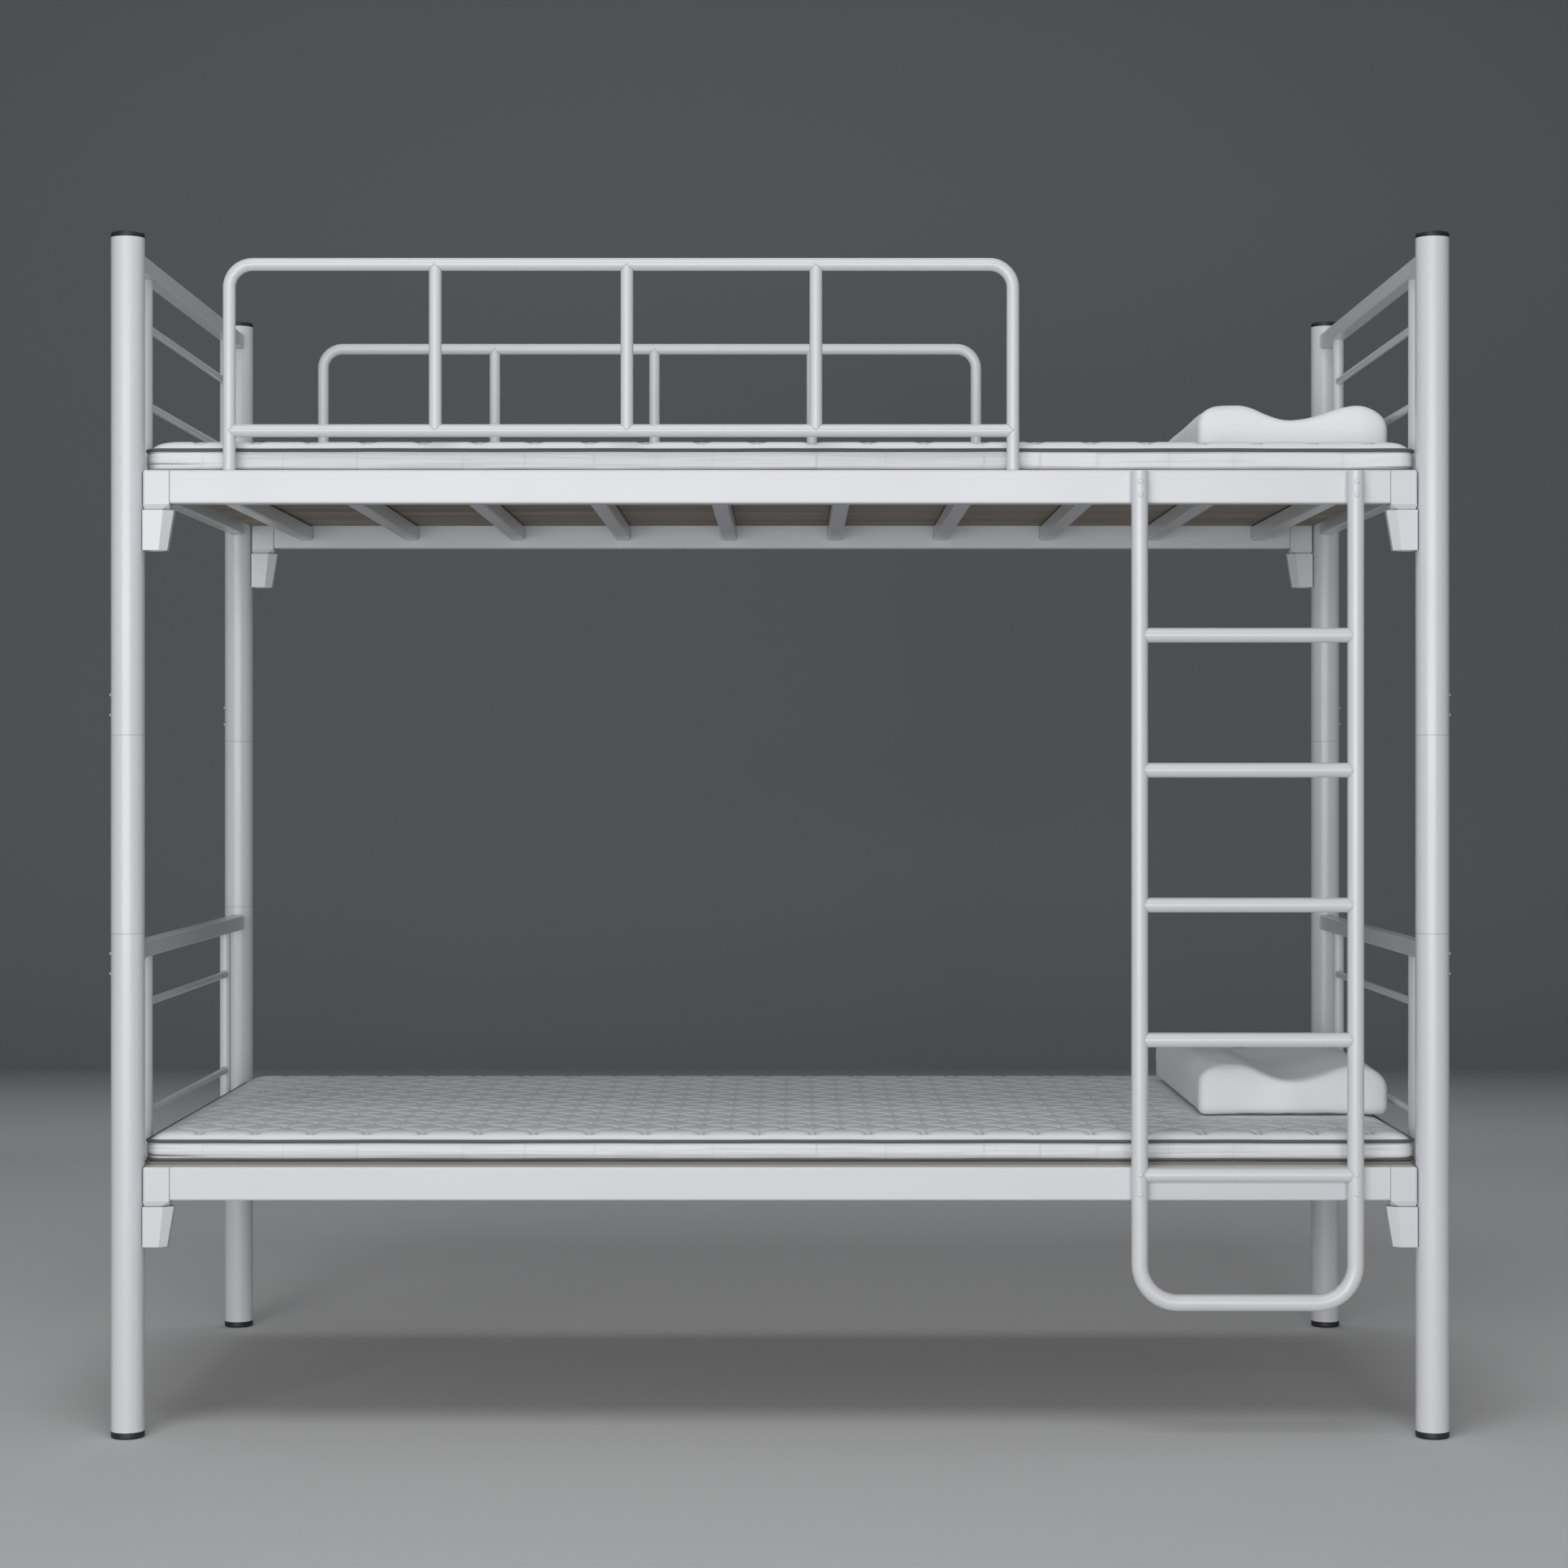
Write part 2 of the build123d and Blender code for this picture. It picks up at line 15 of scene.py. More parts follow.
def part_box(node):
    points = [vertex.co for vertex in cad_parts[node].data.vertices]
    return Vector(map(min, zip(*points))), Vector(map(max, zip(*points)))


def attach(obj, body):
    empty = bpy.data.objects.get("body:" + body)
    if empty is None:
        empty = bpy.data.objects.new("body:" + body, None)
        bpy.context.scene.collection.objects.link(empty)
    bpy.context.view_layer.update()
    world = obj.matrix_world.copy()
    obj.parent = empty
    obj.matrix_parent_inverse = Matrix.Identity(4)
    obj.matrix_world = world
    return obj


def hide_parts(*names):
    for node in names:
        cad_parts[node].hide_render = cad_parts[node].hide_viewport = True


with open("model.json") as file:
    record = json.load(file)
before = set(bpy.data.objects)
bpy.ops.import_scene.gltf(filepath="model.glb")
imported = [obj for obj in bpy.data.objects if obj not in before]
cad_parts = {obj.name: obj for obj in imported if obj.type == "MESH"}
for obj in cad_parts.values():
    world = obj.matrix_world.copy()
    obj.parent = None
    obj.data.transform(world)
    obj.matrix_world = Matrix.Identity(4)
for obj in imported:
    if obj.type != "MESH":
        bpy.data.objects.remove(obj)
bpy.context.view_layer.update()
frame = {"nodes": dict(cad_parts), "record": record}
NODES = frame["nodes"]
BUNKS = ("lower", "upper")
X_AXIS, Y_AXIS, Z_AXIS = range(3)

# Colours, linear
WHITE_PAINT = (0.71, 0.73, 0.755, 1.0)
WHITE_PAINT_SHADE = (0.69, 0.71, 0.735, 1.0)
# Painted shade in the frame's corners and gaps
PAINTED_SHADE_GREY = (0.20, 0.205, 0.215, 1.0)
BLACK_PLASTIC = (0.016, 0.017, 0.019, 1.0)
BLACK_PLASTIC_WORN = (0.034, 0.035, 0.038, 1.0)
PLYWOOD_DARK = (0.195, 0.158, 0.122, 1.0)
PLYWOOD_LIGHT = (0.335, 0.285, 0.23, 1.0)
# Painted shade in the plywood's corners and gaps
PAINTED_SHADE_BROWN = (0.05, 0.045, 0.04, 1.0)
COVER_WHITE = (0.80, 0.815, 0.84, 1.0)
COVER_SHADE = (0.76, 0.775, 0.80, 1.0)
# Stitch thread and panel seams; on the stitch lines the grey is partly painted shade in the grooves
STITCH_SHADE_AND_SEAM_GREY = (0.42, 0.43, 0.45, 1.0)
PIPING_GREY = (0.082, 0.085, 0.093, 1.0)
PIPING_LIGHT = (0.125, 0.128, 0.138, 1.0)
PILLOW_WHITE = (0.86, 0.87, 0.89, 1.0)
PILLOW_SHADE = (0.82, 0.83, 0.85, 1.0)
STAGE_PALE = (0.74, 0.745, 0.755, 1.0)
# Grey of the backdrop, also painted on the floor near the front lamp as shade
BACKDROP_GREY_AND_FLOOR_SHADE = (0.19, 0.195, 0.205, 1.0)
SURROUND_WHITE = (1.0, 1.0, 1.0, 1.0)

# Stage: height over which the backdrop turns grey, and where the floor in front is painted grey as shade near
# the front lamp; light around it
BACKDROP_FOOT = 0.16
FLOOR_PAINTED_SHADE = (-1.6, -4.6)
SURROUND_STRENGTH = 0.14

# Edges of the CAD nodes sharper than this, in degrees, stay sharp
SHARP_EDGE = 32

# Caps and feet: rounded edges, and a small neck where each meets its post
PLUG_SEGMENTS = 72
NECK_INSET = 0.0012
NECK_RISE = 0.0008
CAP_SIDE_SHARE = 0.5
CAP_SHOULDER = 0.004
CAP_SHOULDER_RISE = 0.62
CAP_SHOULDER_END = 62
CAP_DOME = (20, 85)
CAP_LIP = 0.0004
FOOT_HOLLOW = 0.0006
FOOT_RIM_INSIDE = 0.006
FOOT_RIM = 0.005
FOOT_ROUND = 0.0025
FOOT_LIP = 0.0006

# Bolts, as radius and height: two beyond each split of the posts, and pairs through the ladder into the rails
JOINT_BOLT_OFFSETS = (0.030, 0.060)
LADDER_BOLT_HEIGHTS = (0.367, 0.396, 1.405, 1.425)
JOINT_BOLT = (0.0024, 0.0026)
LADDER_BOLT = (0.0038, 0.0010)
BOLT_ROOT = 0.0015
BOLT_DOME = (0, 80)
BOLT_SEGMENTS = 24

# Weld beads, their ripple as a share of the radius, and where the square rails' corners are rounded off
BEAD_RADIUS = 0.0008
BEAD_STEPS = 40
BEAD_SIDES = 6
BEAD_RIPPLE = 0.18
COPED_CORNER = 0.80

# Mattress covers: wavy stitch lines run from front to back between puffed cells
STITCH_PITCH = 0.042
STITCH_SWAY = 0.0170
STITCH_ROW = 0.0425
STITCH_LATE = 2.4
STITCH_STEP = 0.0004
STITCH_START = -0.0559
STITCH_MARGIN = 0.018
CELL_COLUMNS = 12
END_COLUMNS = 14
ROW_PITCH = 0.00425
EDGE_ROWS = 14
EDGE_CLOSER = 1.6
STITCH_WIDTH = 0.0013
STITCH_FEET = 0.0027
STITCH_SEWN = 0.0054
STITCH_SUNK = 0.0090
PUFF = 0.0040
PUFF_REACH = 0.0080
PUFF_POWER = 1.7
PRESSED = 0.8
PRESSED_FADE = 0.02
SHOULDER_REACH = 0.023
SHOULDER_RISE = 0.0138
SHOULDER_POWER = 2.5
SHOULDER_STEEPEST = 0.2
END_REACH = 0.045
LOFT = 0.0030
CROWN_REACH = 0.12
MATTRESS_CORNER = 0.025

# Side band of the mattress. Pairs give heights as shares of the top seam's height, or below it as shares of
# the seams' inset, and then how far the band stands out as shares of that inset.
BAND_LIP = (0.45, 0.40)
BAND_SIDE = ((0.72, 1.28), (0.55, 1.36), (0.38, 1.26))
BAND_ROLLED = ((0.20, 1.22), (0.08, 1.0), (0.02, 0.45), (0.0, -1.0))
BAND_SOLE = 0.35
BAND_HELD = 0.4

# Sewn panels of the band, their uneven widths and gentle waves as (size, rate) and (size, length), and how
# slack the cloth is on top, along the band and at its ends
BAND_PANEL = 0.111
BAND_STEP = 0.0012
PANEL_SHIFTS = ((0.22, 9.1), (0.1, 23.7))
BAND_WAVES = ((0.4, 0.183), (0.3, 0.412))
SLACK_TOP = 0.1
SLACK_BAND = 0.4
SLACK_ENDS = 2.0
SLACK_REACH = 0.13

# Piped cords, as shares of the CAD cord's radius and of the seams' inset, and their waves as
# (size, length, start)
TOP_CORD = 1.1
BOTTOM_CORD = 0.8
BOTTOM_CORD_SAG = 0.2
ROLLED_INSET = 2.4
CORD_SIDES = 10
CORD_CORNER_STEPS = 12
CORD_STEP = 0.012
CORD_WAVES = ((0.0002, 0.31, 0.0), (0.0001, 0.117, 1.0))

# Pillow section, measured from its left edge and its underside, and its swelling
PILLOW_SOLE_ROUND = 0.008
PILLOW_LEFT_ROUND = 0.026
PILLOW_RIGHT_ROUND = (0.041, 0.036)
PILLOW_LEFT_HUMP = 0.062
PILLOW_DIP = (0.143, 0.0535)
PILLOW_END_ROUND = 0.012
PILLOW_END_STEPS = 9
PILLOW_VOXEL = 0.005
PILLOW_SWELL = 0.003
PILLOW_FULL = (0.004, 0.0, 0.002)
SWELL_PRESSURE = 4.0
SWELL_FRAMES = 20
EVEN_PASSES = 4


class Look:
    """One procedural material, with short forms for adding and joining its nodes."""

    def __init__(self, name):
        self.material = bpy.data.materials.new(name)
        self.material.use_nodes = True
        self.tree = self.material.node_tree
        self.shader = self.tree.nodes["Principled BSDF"]
        self.place = self.node("ShaderNodeTexCoord").outputs["Object"]
        self.normal = None

    def node(self, kind, inputs=None, **settings):
        """Add a node, with its settings and its inputs by name."""
        made = self.tree.nodes.new(kind)
        for name, value in settings.items():
            setattr(made, name, value)
        for name, value in (inputs or {}).items():
            self.join(made.inputs[name], value)
        return made

    def join(self, socket, value):
        """Link a socket to another, or set it to a plain value."""
        if isinstance(value, bpy.types.NodeSocket):
            self.tree.links.new(value, socket)
        else:
            socket.default_value = value

    def set(self, **inputs):
        """Set inputs of the shader: Sheen_Weight=0.3 sets its Sheen Weight."""
        for name, value in inputs.items():
            self.join(self.shader.inputs[name.replace("_", " ")], value)

    def stretched(self, scale):
        """Object coordinates scaled along each axis."""
        return self.node("ShaderNodeMapping", {"Vector": self.place, "Scale": scale}).outputs["Vector"]

    def noise(self, scale, detail=2.0, stretch=None):
        """Soft noise from 0 to 1, its coordinates stretched first if asked."""
        place = self.stretched(stretch) if stretch else self.place
        inputs = {"Vector": place, "Scale": scale, "Detail": detail}
        return self.node("ShaderNodeTexNoise", inputs).outputs["Fac"]

    def waves(self, scale, direction, distortion=0.0):
        """Parallel bands along one axis or a diagonal."""
        inputs = {"Vector": self.place, "Scale": scale, "Distortion": distortion}
        return self.node("ShaderNodeTexWave", inputs, bands_direction=direction).outputs["Fac"]

    def ranged(self, value, low, high, start=0.3, end=0.7):
        """A value from start to end turned into one from low to high."""
        inputs = {"Value": value, "From Min": start, "From Max": end, "To Min": low, "To Max": high}
        return self.node("ShaderNodeMapRange", inputs).outputs["Result"]

    def maths(self, operation, first, second=0.0):
        """One sum on two values."""
        made = self.node("ShaderNodeMath", operation=operation)
        self.join(made.inputs[0], first)
        self.join(made.inputs[1], second)
        return made.outputs[0]

    def tint(self, value, first, second, start=0.3, end=0.7):
        """A colour that goes from first to second as the value goes from start to end."""
        ramp = self.node("ShaderNodeValToRGB", {"Fac": value})
        low, high = ramp.color_ramp.elements
        low.position, low.color = start, first
        high.position, high.color = end, second
        return ramp.outputs["Color"]

    def painted_crevice_shade(self, reach):
        """Painted shade from ambient occlusion: 1 deep in corners and gaps, falling to 0 a short way out of
        them.
        """
        open_part = self.node("ShaderNodeAmbientOcclusion", {"Distance": reach}, samples=8).outputs["AO"]
        return self.ranged(open_part, low=0.9, high=0.0, start=0.35, end=0.92)

    def mixed(self, share, first, second):
        """A colour between two, by a share from 0 to 1."""
        inputs = {"Fac": share, "Color1": first, "Color2": second}
        return self.node("ShaderNodeMixRGB", inputs).outputs["Color"]

    def bump(self, height, strength, distance):
        """Add one layer of relief on top of those before."""
        inputs = {"Height": height, "Strength": strength, "Distance": distance}
        if self.normal:
            inputs["Normal"] = self.normal
        self.normal = self.node("ShaderNodeBump", inputs).outputs["Normal"]
        self.set(Normal=self.normal)


def powder_coat():
    """Satin white powder coat: faint orange peel, slow changes of tone and gloss, painted shade in the
    joints.
    """
    look = Look("white_powder_coat")
    cloudy = look.noise(scale=1.6, detail=1.0)
    paint = look.tint(cloudy, WHITE_PAINT_SHADE, WHITE_PAINT, start=0.2, end=0.8)
    # Painted shade: the paint turns grey in corners and gaps, from ambient occlusion.
    look.set(Base_Color=look.mixed(look.painted_crevice_shade(reach=0.003), paint, PAINTED_SHADE_GREY))
    look.set(Roughness=look.ranged(look.noise(scale=6.0, detail=1.0), low=0.285, high=0.33))
    look.set(Specular_IOR_Level=0.6)
    look.bump(look.noise(scale=900.0, detail=1.0), strength=0.05, distance=0.0001)
    return look.material


def black_plastic():
    """Moulded black plastic with a fine spark-eroded grain and dusty patches."""
    look = Look("black_plastic")
    dust = look.noise(scale=60.0, detail=4.0)
    look.set(Base_Color=look.tint(dust, BLACK_PLASTIC, BLACK_PLASTIC_WORN, start=0.4, end=0.8))
    look.set(Roughness=look.ranged(look.noise(scale=140.0), low=0.38, high=0.58))
    look.bump(look.noise(scale=1500.0), strength=0.18, distance=0.0003)
    return look.material


def plywood():
    """Brown plywood: grain along the bed on its faces, thin plies on its edges, painted shade in its corners
    and gaps.
    """
    look = Look("plywood")
    rings = look.noise(scale=3.2, detail=5.0, stretch=(0.35, 6.0, 6.0))
    pores = look.noise(scale=60.0, stretch=(0.05, 6.0, 6.0))
    grain = look.maths("ADD", look.maths("MULTIPLY", rings, 0.75), look.maths("MULTIPLY", pores, 0.25))
    faces = look.tint(grain, PLYWOOD_DARK, PLYWOOD_LIGHT, start=0.34, end=0.66)
    layers = look.waves(scale=105.0, direction="Z", distortion=0.6)
    plies = look.tint(layers, PLYWOOD_DARK, PLYWOOD_LIGHT, start=0.25, end=0.75)
    normal = look.node("ShaderNodeNewGeometry").outputs["Normal"]
    upward = look.node("ShaderNodeSeparateXYZ", {"Vector": normal}).outputs["Z"]
    flat = look.maths("GREATER_THAN", look.maths("ABSOLUTE", upward), 0.5)
    wood = look.mixed(flat, plies, faces)
    # Painted shade: the wood turns dark brown in corners and gaps, from ambient occlusion.
    look.set(Base_Color=look.mixed(look.painted_crevice_shade(reach=0.005), wood, PAINTED_SHADE_BROWN))
    look.set(Roughness=look.ranged(grain, low=0.72, high=0.58))
    look.bump(pores, strength=0.25, distance=0.0005)
    return look.material


def quilted_knit():
    """Satin-faced knit of the mattress covers: stitch lines painted grey as thread and as shade in their
    grooves, panel seams, fine courses, long wrinkles.
    """
    look = Look("mattress_cover")
    from_stitch = look.node("ShaderNodeAttribute", attribute_name="from_stitch").outputs["Fac"]
    panel = look.node("ShaderNodeAttribute", attribute_name="panel").outputs["Fac"]
    slack = look.node("ShaderNodeAttribute", attribute_name="slack").outputs["Fac"]
    # Stitch lines: grey thread, painted darker as shade in the quilting's grooves
    stitch_shade = look.ranged(from_stitch, low=0.5, high=0.0, start=STITCH_WIDTH / 4, end=STITCH_WIDTH)
    seam = look.ranged(look.maths("PINGPONG", panel, 0.5), low=0.28, high=0.0, start=0.002, end=0.008)
    cloth = look.tint(look.noise(scale=7.0, detail=3.0), COVER_SHADE, COVER_WHITE)
    look.set(Base_Color=look.mixed(look.maths("MAXIMUM", stitch_shade, seam), cloth, STITCH_SHADE_AND_SEAM_GREY))
    # The band, where from_stitch is 1, is smoother than the quilted top
    look.set(Roughness=look.ranged(from_stitch, low=0.52, high=0.34, start=0.3, end=0.6))
    look.set(Specular_IOR_Level=0.3)
    courses = look.maths("ADD", look.waves(210.0, "X"), look.waves(210.0, "Y"))
    look.bump(courses, strength=0.10, distance=0.0003)
    wrinkles = look.maths("MULTIPLY", look.noise(scale=3.0, stretch=(1.0, 1.0, 22.0)), slack)
    look.bump(wrinkles, strength=1.0, distance=0.012)
    return look.material


def piping_tape():
    """Dark grey woven tape folded round a cord, with a fine twill."""
    look = Look("piping")
    twill = look.waves(scale=320.0, direction="DIAGONAL", distortion=1.0)
    look.set(Base_Color=look.tint(twill, PIPING_GREY, PIPING_LIGHT, start=0.2, end=0.9))
    look.set(Roughness=0.72, Sheen_Weight=0.2)
    look.bump(twill, strength=0.35, distance=0.0004)
    return look.material


def pillow_knit():
    """Brushed white knit over foam: short nap, soft sheen."""
    look = Look("pillow_cover")
    look.set(Base_Color=look.tint(look.noise(scale=9.0, detail=3.0), PILLOW_SHADE, PILLOW_WHITE))
    look.set(Roughness=0.9, Sheen_Weight=0.06, Sheen_Roughness=0.5, Specular_IOR_Level=0.2)
    look.bump(look.noise(scale=900.0, detail=3.0), strength=0.30, distance=0.0005)
    look.bump(look.waves(scale=330.0, direction="X"), strength=0.08, distance=0.0003)
    return look.material


def stage_pale():
    """Plain matt stage: pale floor, painted grey near the front lamp as shade, grey on the backdrop, clear
    from behind.
    """
    look = Look("stage")
    behind = look.node("ShaderNodeNewGeometry").outputs["Backfacing"]
    look.set(Alpha=look.ranged(behind, low=1.0, high=0.0, start=0.0, end=1.0))
    place = look.node("ShaderNodeSeparateXYZ", {"Vector": look.place})
    backdrop = look.ranged(place.outputs["Z"], low=0.0, high=1.0, start=0.0, end=BACKDROP_FOOT)
    # Painted shade: the floor turns grey towards the front lamp, against the light it throws there.
    near = look.ranged(place.outputs["Y"], 0.0, 1.0, *FLOOR_PAINTED_SHADE)
    shade = look.maths("MAXIMUM", backdrop, near)
    look.set(Base_Color=look.tint(shade, STAGE_PALE, BACKDROP_GREY_AND_FLOOR_SHADE, start=0.0, end=1.0))
    look.set(Roughness=0.8, Specular_IOR_Level=0.2)
    return look.material


LOOKS = {
    "white_powder_coat": powder_coat(),
    "black_plastic": black_plastic(),
    "plywood": plywood(),
    "mattress_cover": quilted_knit(),
    "piping": piping_tape(),
    "pillow_cover": pillow_knit(),
}


def new_mesh(name, points, faces):
    """Mesh of points and faces."""
    mesh = bpy.data.meshes.new(name)
    mesh.from_pydata([tuple(p) for p in points], [], faces)
    mesh.update()
    return mesh


def dress(name, mesh, slot, body, place=(0.0, 0.0, 0.0), replaced=()):
    """Put a mesh in the scene as a smooth-shaded piece that rides on a body, with its slot's material."""
    made = bpy.data.objects.new(name, mesh)
    bpy.context.scene.collection.objects.link(made)
    made.location = place
    mesh.materials.clear()
    mesh.materials.append(LOOKS[slot])
    mesh.shade_smooth()
    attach(made, body)
    if replaced:
        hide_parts(*replaced)
    return made


def merged(forms):
    """Points and faces of several forms as one."""
    points, faces, start = [], [], 0
    for form_points, form_faces in forms:
        points.extend(form_points)
        faces.extend([tuple(i + start for i in face) for face in form_faces])
        start += len(form_points)
    return points, faces


def lathe(profile, segments):
    """Turned form about Z from (radius, height) pairs; the first and last pair lie on the axis."""
    points = [(0.0, 0.0, profile[0][1])]
    for radius, height in profile[1:-1]:
        for step in range(segments):
            turn = math.tau * step / segments
            points.append((radius * math.cos(turn), radius * math.sin(turn), height))
    points.append((0.0, 0.0, profile[-1][1]))
    last = len(points) - 1
    faces = []
    rings = len(profile) - 2
    for step in range(segments):
        after = (step + 1) % segments
        faces.append((0, 1 + after, 1 + step))
        for ring in range(rings - 1):
            low, high = 1 + ring * segments, 1 + (ring + 1) * segments
            faces.append((low + step, low + after, high + after, high + step))
        top = 1 + (rings - 1) * segments
        faces.append((top + step, top + after, last))
    return points, faces


def arc(centre, radius, start, end, steps):
    """(radius, height) pairs along a round edge, angles in degrees from outward to up."""
    turns = np.radians(np.linspace(start, end, steps))
    return [(centre[0] + radius * math.cos(t), centre[1] + radius * math.sin(t)) for t in turns]


def turned(form, axis, place):
    """A form about Z turned so that its Z lies along an axis, then moved."""
    points, faces = form
    turn = Vector((0, 0, 1)).rotation_difference(Vector(axis))
    return [tuple(turn @ Vector(p) + Vector(place)) for p in points], faces


def spans(node, axis, gap=0.03):
    """Low and high ends, along one axis, of the separate solids in a node."""
    values = np.sort([v.co[axis] for v in NODES[node].data.vertices])
    starts = np.flatnonzero(np.diff(values) > gap) + 1
    return [(group[0], group[-1]) for group in np.split(values, starts)]


def finish_cad():
    """Give the carried CAD nodes their materials and shade their round faces smooth. Slats stay flat."""
    slots = {part["node"]: part["material_slot"] for part in frame["record"]["subparts"]}
    for name, node in NODES.items():
        mesh = node.data
        mesh.materials.clear()
        mesh.materials.append(LOOKS[slots[name]])
        if name.endswith("_slats"):
            mesh.shade_flat()
            continue
        mesh.shade_smooth()
        mesh.set_sharp_from_angle(angle=math.radians(SHARP_EDGE))
        node.modifiers.new("weighted", "WEIGHTED_NORMAL").keep_sharp = True


def post_corners():
    """Axis of each post, as (x, y), and the posts' radius."""
    low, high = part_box("feet")
    radius = (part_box("coupling_tube_front_left")[1].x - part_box("coupling_tube_front_left")[0].x) / 2
    xs, ys = (low.x + radius, high.x - radius), (low.y + radius, high.y - radius)
    return [(x, y) for x in xs for y in ys], radius


CORNERS, POST_RADIUS = post_corners()


def caps_and_feet():
    """Black plugs: low domed caps on the posts and bevelled feet under them."""
    neck = POST_RADIUS - NECK_INSET
    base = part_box("upper_post_front_left")[1].z
    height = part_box("post_caps")[1].z - base
    side = CAP_SIDE_SHARE * height
    crown = POST_RADIUS - CAP_SHOULDER
    spring = side + CAP_SHOULDER * CAP_SHOULDER_RISE
    dome = [(crown * math.cos(t), spring + (height - spring) * math.sin(t))
            for t in np.radians(np.linspace(*CAP_DOME, 8))]
    cap = lathe([(0, 0), (neck, 0), (neck, NECK_RISE),
                 *arc((POST_RADIUS - CAP_LIP, NECK_RISE + CAP_LIP), CAP_LIP, -90, 0, 4),
                 *arc((crown, side), CAP_SHOULDER, 0, CAP_SHOULDER_END, 8),
                 *dome, (0, height)], PLUG_SEGMENTS)
    forms = [turned(cap, (0, 0, 1), (x, y, base)) for x, y in CORNERS]
    mesh = new_mesh("post_cap_plugs", *merged(forms))
    dress("post_cap_plugs", mesh, "black_plastic", "bed_frame", replaced=["post_caps"])

    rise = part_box("lower_post_front_left")[0].z
    lip = rise - NECK_RISE - FOOT_LIP
    foot = lathe([(0, FOOT_HOLLOW), (POST_RADIUS - FOOT_RIM_INSIDE, FOOT_HOLLOW), (POST_RADIUS - FOOT_RIM, 0),
                  *arc((POST_RADIUS - FOOT_ROUND, FOOT_ROUND), FOOT_ROUND, -90, 0, 8),
                  *arc((POST_RADIUS - FOOT_LIP, lip), FOOT_LIP, 0, 90, 4),
                  (neck, rise), (0, rise)], PLUG_SEGMENTS)
    forms = [turned(foot, (0, 0, 1), (x, y, 0)) for x, y in CORNERS]
    mesh = new_mesh("foot_plugs", *merged(forms))
    dress("foot_plugs", mesh, "black_plastic", "bed_frame", replaced=["feet"])


def bolt_head(radius, height):
    """Domed bolt head on z = 0 with a short root below it."""
    turns = np.radians(np.linspace(*BOLT_DOME, 9))
    dome = [(radius * math.cos(t), height * math.sin(t)) for t in turns]
    return lathe([(0, -BOLT_ROOT), (radius, -BOLT_ROOT), *dome, (0, height)], BOLT_SEGMENTS)


def bolts():
    """Small bolt heads, painted with the frame: domed at the posts' splits, low on the ladder."""
    low_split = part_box("coupling_tube_front_left")[0].z
    high_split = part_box("coupling_tube_front_left")[1].z
    heights = [low_split - o for o in JOINT_BOLT_OFFSETS] + [high_split + o for o in JOINT_BOLT_OFFSETS]
    bolt = bolt_head(*JOINT_BOLT)
    forms = []
    for x, y in CORNERS:
        outward = math.copysign(1, x)
        forms += [turned(bolt, (outward, 0, 0), (x + outward * POST_RADIUS, y, z)) for z in heights]
    dress("post_joint_bolts", new_mesh("post_joint_bolts", *merged(forms)), "white_powder_coat", "bed_frame")

    low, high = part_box("ladder_stile")
    radius = (high.y - low.y) / 2
    bolt = bolt_head(*LADDER_BOLT)
    forms = [turned(bolt, (0, -1, 0), (x, low.y, z))
             for x in (low.x + radius, high.x - radius) for z in LADDER_BOLT_HEIGHTS]
    mesh = new_mesh("ladder_fixing_bolts", *merged(forms))
    dress("ladder_fixing_bolts", mesh, "white_powder_coat", "bed_frame")


def tube(path, radius, sides, ripple=0.0):
    """Closed tube along a closed path of points; ripple makes its radius swell from step to step."""
    path = np.asarray(path, float)
    ahead = np.roll(path, -1, axis=0) - np.roll(path, 1, axis=0)
    ahead /= np.linalg.norm(ahead, axis=1)[:, None]
    centre = path.mean(axis=0)
    out = path - centre
    out -= ahead * (out * ahead).sum(axis=1)[:, None]
    out /= np.linalg.norm(out, axis=1)[:, None]
    up = np.cross(ahead, out)
    points, count = [], len(path)
    for i in range(count):
        size = radius * (1 + ripple * (i % 2))
        for side in range(sides):
            turn = math.tau * side / sides
            points.append(path[i] + size * (math.cos(turn) * out[i] + math.sin(turn) * up[i]))
    faces = [(i * sides + s, i * sides + (s + 1) % sides,
              (i + 1) % count * sides + (s + 1) % sides, (i + 1) % count * sides + s)
             for i in range(count) for s in range(sides)]
    return points, faces


def ring_turns():
    """Angles once round a weld."""
    return np.arange(BEAD_STEPS) * math.tau / BEAD_STEPS


def bead(points):
    """Rippled weld bead along a closed path."""
    return tube(points, BEAD_RADIUS, BEAD_SIDES, BEAD_RIPPLE)


def saddle_bead(centre, along, across, toward, radius, host):
    """Weld where a round bar meets a round tube: the bar runs along one axis, the tube along another."""
    third = ({X_AXIS, Y_AXIS, Z_AXIS} - {along, across}).pop()
    points = []
    for turn in ring_turns():
        point = list(centre)
        sway = radius * math.cos(turn)
        point[third] += sway
        point[across] += radius * math.sin(turn)
        point[along] += toward * math.sqrt(max(host ** 2 - sway ** 2, 0.0))
        points.append(point)
    return bead(points)


def flat_bead(centre, radius):
    """Weld where a round bar stands on a flat face."""
    x, y, z = centre
    points = [(x + radius * math.cos(t), y + radius * math.sin(t), z) for t in ring_turns()]
    return bead(points)


def coped_bead(x, y, z, half, toward):
    """Weld where a square rail meets a round post."""
    points = []
    for turn in ring_turns():
        c, s = math.cos(turn), math.sin(turn)
        reach = half / max(abs(c), abs(s), COPED_CORNER)
        dx, dz = reach * c, reach * s
        points.append((x + dx, y + toward * math.sqrt(POST_RADIUS ** 2 - dx ** 2), z + dz))
    return bead(points)


